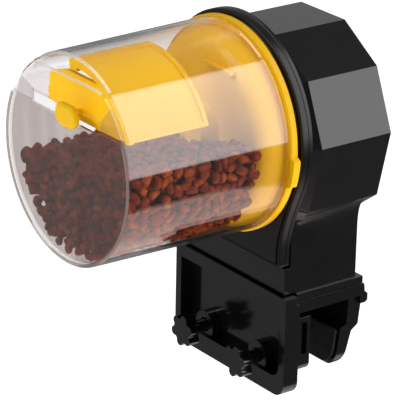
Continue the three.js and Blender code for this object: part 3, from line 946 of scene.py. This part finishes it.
def make_ring():
    front_step = [(1.85, 66.2), (1.65, 66.35), (1.6, 66.75), (1.25, 66.75)]
    outer_step = [(1.2, 66.6), (0.5, 66.6), (0.15, 66.75), (0, 67.1)]
    seam = [(0, 68.9), (0.18, 69.0), (0.18, 69.2), (0, 69.3)]
    levels = front_step + outer_step + seam + [(0, 70.6), (0.2, 70.8)]
    ring = to_object("front_ring", stack(ring_outline(), levels), "ring")
    carve(ring, rod(SHAFT_HOLE_R, 60, 72, 40))
    shade(ring, 30)
    place(ring, "front_ring", "head", "black_plastic", "front_plate")


def facets():
    """The head's corners on the right, from the top down."""
    return [(11.6, 32.0), (29.0, 20.8), (37.6, 0.0), (32.0, -23.7)]


def housing_outline(d):
    """Facets above, the neck below, with a hollow curve between; d insets the facets."""
    k = 1 - d / 35.5
    half = [(x * k, z * k) for x, z in facets()]
    p0 = Vector(half[-1])
    p1, p2, p3 = p0 + Vector((-3.0, -2.4)), Vector((NECK_X, -28.5)), Vector((NECK_X, -35.5))
    half += bezier(p0, p1, p2, p3, 10)
    half.append((NECK_X, FOOT_BOTTOM))
    return mirrored(half)


def make_housing():
    levels = [(2.2, HOUSING_Y[0]), (0.0, SHOULDER_Y), (0.0, NECK_BACK)]
    rings = [[(x, y, z) for x, z in housing_outline(d)] for d, y in levels]
    body = to_object("housing_shell", loft(rings), "black")
    rim = mirrored(facets() + [(24.0, -29.6)])
    # the rim round the back cover, the neck's front and the foot
    weld(
        body,
        stack(rim, [(0, 90), (0, HOUSING_Y[1])]),
        block((-NECK_X, NECK_X), (69, SHOULDER_Y), (-53.5, -44.3)),
        block((-28.5, 28.5), (74, 102.4), (FOOT_BOTTOM, -54.2)),
    )
    # room under the neck's front, the head's inside, the cell bay and its door opening,
    # the narrow and wide parts of the T slot, and the shaft's hole
    carve(
        body,
        block((-40, 40), (60, 74), (-60, -53.5)),
        stack(inset(rim, HOUSING_WALL), [(0, 75.5), (0, HOUSING_Y[1] + 1)]),
        block((-26.2, 26.2), (75.5, 97.5), (-50, -18)),
        block((-24.4, 24.4), (90, 101), (-48, -30)),
        block((-7.4, 7.4), (72, 104), (-57.7, -55.6)),
        block((-10.9, 10.9), (72, 104), (-55.7, -53.6)),
        rod(SHAFT_HOLE_R, 70, 78, 32),
    )
    soften(body, 0.3, 3, 20)
    place(body, "housing_shell", "head", "black_plastic", "housing")


# ---- back panel details -------------------------------------------------
def make_case_screw(i):
    """The case screw with a cross cut in its head."""
    node = f"case_screw_{i}"
    obj = raw_copy(node, f"screw_{i}", "steel")
    spots = [v.co / MM - HEAD for v in obj.data.vertices]
    top = max(p.y for p in spots)
    x = (max(p.x for p in spots) + min(p.x for p in spots)) / 2
    z = (max(p.z for p in spots) + min(p.z for p in spots)) / 2
    arm, half_width, depth = 1.35, 0.26, 0.55
    for w, h in ((arm, half_width), (half_width, arm)):
        carve(obj, block((x - w, x + w), (top - depth, top + 1), (z - h, z + h)))
    soften(obj, 0.08)
    place(obj, f"screw_{i}", "head", "steel", node)


# the bars that make each digit
SEGMENTS = {"1": "bc", "2": "abged", "3": "abgcd", "0": "abcdef"}


def make_display():
    """A 12:30 readout in raised seven-segment marks on the window."""
    y0, y1 = WINDOW_BACK - 0.05, WINDOW_BACK + 0.06
    w, h, t = 4.2, 8.4, 0.75  # a digit's width and height, and a bar's thickness
    bars = {
        "a": (0, h, w, h + t), "d": (0, 0, w, t), "g": (0, h / 2, w, h / 2 + t),
        "f": (-t, h / 2 + t, 0, h), "b": (w, h / 2 + t, w + t, h),
        "e": (-t, t, 0, h / 2), "c": (w, t, w + t, h / 2),
    }
    marks = []
    foot = 7.4  # height of the digits' lower edge
    for digit, right in zip("1230", (12.6, 6.2, -1.8, -8.2)):
        for key in SEGMENTS[digit]:
            x0, z0, x1, z1 = bars[key]
            box = block((right - x1, right - x0), (y0, y1), (foot + z0, foot + z1))
            marks.append(to_object("bar", box, "segment"))
    for z in (10.0, 13.6):
        marks.append(to_object("bar", rod(0.45, y0, y1, 16, -0.1, z), "segment"))
    for x0, x1 in ((-14.5, -9), (-7, -2), (2, 7), (9, 14.5)):
        marks.append(to_object("bar", block((x0, x1), (y0, y1), (4.6, 5.3)), "segment"))
    for part in marks:
        soften(part, 0.03, 1)
    place(joined("display_marks", marks), "display_marks", "head", "window")


CARRIED = {
    "drive_shaft": "white", "output_gear": "white", "idler_gear": "white", "idler_pin": "steel",
    "motor_pinion": "brass", "gear_plate": "grey", "motor": "steel", "circuit_board": "green",
    "lcd_module": "grey", "lcd_window": "window", "position_switch": "grey",
    "case_screw_1": "steel", "case_screw_2": "steel", "case_screw_3": "steel", "case_screw_4": "steel",
    "battery_1": "cell", "battery_2": "cell",
    "battery_contact_left": "steel", "battery_contact_right": "steel",
}


def paint_carried():
    """Gives each CAD node that is seen as it is its own material."""
    for node, material in CARRIED.items():
        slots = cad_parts[node].data.materials
        slots.clear()
        slots.append(MAT[material])


# ---- the whole feeder ---------------------------------------------------
make_camera()
make_studio()
MAT = make_materials()

make_drum()
make_gate()
make_base()
make_feed()
make_ring()
make_housing()

copy_node("clamp_bracket", "clamp_frame", "black", "bracket", "black_plastic", 0.5)
copy_node("pressure_plate", "clamp_presser", "black", "presser", "black_plastic", 1.0)
copy_node("back_cover", "rear_cover", "black", "head", "black_plastic", 0.3, 20)
copy_node("battery_door", "cell_door", "black", "door", "black_plastic", 0.2)
copy_node("rear_jaw_pad", "jaw_pad", "rubber", "bracket", "rubber_pad", 0.2)
copy_node("pressure_pad", "presser_pad", "rubber", "presser", "rubber_pad", 0.2)
copy_node("thumb_screw_left", "knob_left", "black", "screw_left", "black_plastic", 0.3)
copy_node("thumb_screw_right", "knob_right", "black", "screw_right", "black_plastic", 0.3)
for i in range(1, 5):
    copy_node(f"button_{i}", f"push_{i}", "yellow", f"button_{i}", "yellow_plastic", 0.2)
for i in range(1, 5):
    make_case_screw(i)
make_display()
paint_carried()
